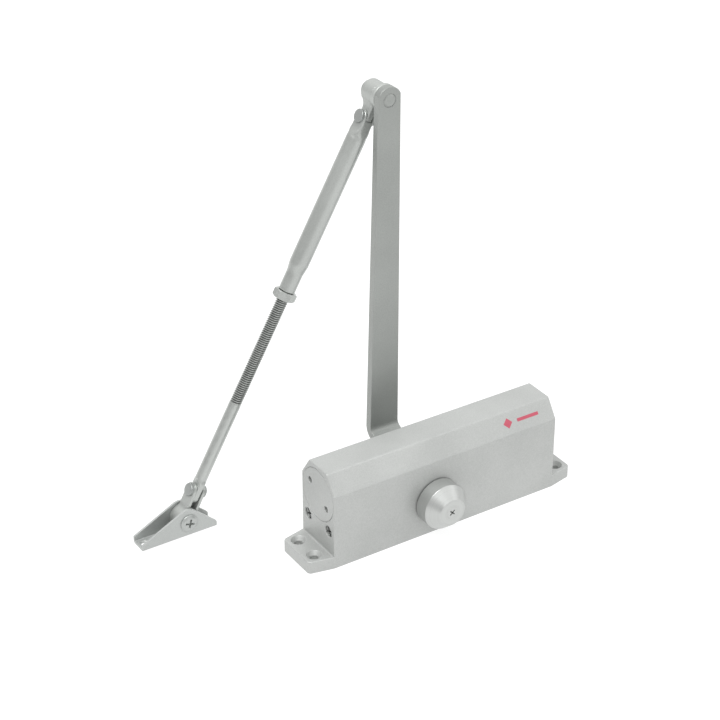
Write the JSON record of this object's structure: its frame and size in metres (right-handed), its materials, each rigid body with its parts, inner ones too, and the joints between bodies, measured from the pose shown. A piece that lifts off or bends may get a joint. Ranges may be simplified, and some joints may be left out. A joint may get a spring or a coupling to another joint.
{
  "type": "surface door closer",
  "caption": "Surface-mounted door closer: a spring and oil-damped rack-and-pinion body, a folding two-piece arm with an adjustable forearm, and a fixing shoe.",
  "frame": {"origin": "centre of the housing's mounting face, which is also the centre of its four fixing holes", "axes": "+X along the body from the valve end to the spring end, +Y from the covered pinion end to the arm, +Z away from the mounting face"},
  "size_m": [0.2829, 0.1174, 0.2869],
  "materials": {
    "body_paint": "satin silver-grey paint on cast aluminium",
    "arm_paint": "satin silver paint on steel",
    "turned_aluminium": "turned and lacquered",
    "bright_steel": "zinc plated",
    "dark_steel": "machined and oiled",
    "zinc_thread": "rolled thread, zinc plated",
    "rubber": "moulded",
    "bronze": "sintered"
  },
  "bodies": {
    "body": {"housing": "body_paint", "end_plug_left": "body_paint", "end_plug_right": "body_paint", "plug_o_rings": "rubber", "valve_o_rings": "rubber", "pinion_bearing_front": "bronze", "pinion_bearing_back": "bronze", "pinion_seals": "rubber", "bearing_nut_front": "dark_steel", "bearing_nut_back": "dark_steel", "return_spring": "dark_steel", "spring_seat": "bright_steel"},
    "sweep_valve": {"sweep_valve": "bright_steel"},
    "latch_valve": {"latch_valve": "bright_steel"},
    "pinion": {"pinion_shaft": "dark_steel", "pinion_cap": "turned_aluminium", "cap_screw": "bright_steel", "main_arm": "arm_paint", "arm_washer": "bright_steel", "arm_screw": "dark_steel", "elbow_pin": "bright_steel", "elbow_spacer": "arm_paint"},
    "piston": {"piston": "dark_steel", "piston_ring": "rubber", "check_ball_retainer": "bright_steel"},
    "check_ball": {"check_ball": "bright_steel"},
    "elbow": {"elbow_knuckle": "arm_paint"},
    "forearm": {"forearm_tube": "arm_paint", "elbow_tilt_rivet": "bright_steel"},
    "lock_nut": {"lock_nut": "bright_steel"},
    "rod": {"threaded_rod": "zinc_thread"},
    "yoke": {"shoe_yoke": "arm_paint", "pivot_sleeve": "bright_steel", "rod_end_rivet": "bright_steel"},
    "shoe": {"shoe_bracket": "arm_paint", "pivot_screw": "bright_steel", "pivot_nut": "bright_steel"}
  },
  "joints": [
    {"name": "pinion_turn", "type": "hinge", "parent": "body", "child": "pinion", "pos_m": [-0.0086, 0, 0.0244], "axis": [0, 1, 0], "range_deg": [0, 170], "stiffness_Nm_per_rad": 4, "springref_deg": -114.59},
    {"name": "piston_slide", "type": "slide", "parent": "body", "child": "piston", "axis": [1, 0, 0], "range_m": [0, 0.029], "deforming": ["return_spring"]},
    {"name": "check_ball_lift", "type": "slide", "parent": "piston", "child": "check_ball", "axis": [-1, 0, 0], "range_m": [0, 0.0015]},
    {"name": "sweep_valve_turn", "type": "hinge", "parent": "body", "child": "sweep_valve", "pos_m": [-0.0864, -0.012, 0.0245], "axis": [1, 0, 0], "range_deg": [-180, 180]},
    {"name": "latch_valve_turn", "type": "hinge", "parent": "body", "child": "latch_valve", "pos_m": [-0.0864, 0.012, 0.0245], "axis": [1, 0, 0], "range_deg": [-180, 180]},
    {"name": "elbow_swing", "type": "hinge", "parent": "pinion", "child": "elbow", "pos_m": [-0.00599, 0.0579, 0.27819], "axis": [0, 1, 0], "range_deg": [-25, 150]},
    {"name": "forearm_tilt", "type": "hinge", "parent": "elbow", "child": "forearm", "pos_m": [-0.01363, 0.0579, 0.26356], "axis": [0.8862, 0, -0.4632], "range_deg": [-1, 20]},
    {"name": "lock_nut_turn", "type": "hinge", "parent": "forearm", "child": "lock_nut", "pos_m": [-0.07039, 0.063, 0.15496], "axis": [-0.4628, 0.0416, -0.8855], "continuous": true},
    {"name": "rod_adjust", "type": "slide", "parent": "forearm", "child": "rod", "axis": [-0.4628, 0.0416, -0.8855], "range_m": [-0.06, 0.01]},
    {"name": "yoke_tilt", "type": "hinge", "parent": "rod", "child": "yoke", "pos_m": [-0.13664, 0.06895, 0.0282], "axis": [0.8862, 0, -0.4632], "range_deg": [-10, 10]},
    {"name": "shoe_swing", "type": "hinge", "parent": "yoke", "child": "shoe", "pos_m": [-0.146, 0.06895, 0.0103], "axis": [0, 1, 0], "range_deg": [-60, 90]}
  ],
  "couplings": [
    {"joint": "piston_slide", "follows": "pinion_turn", "m_per_rad": 0.00975}
  ]
}
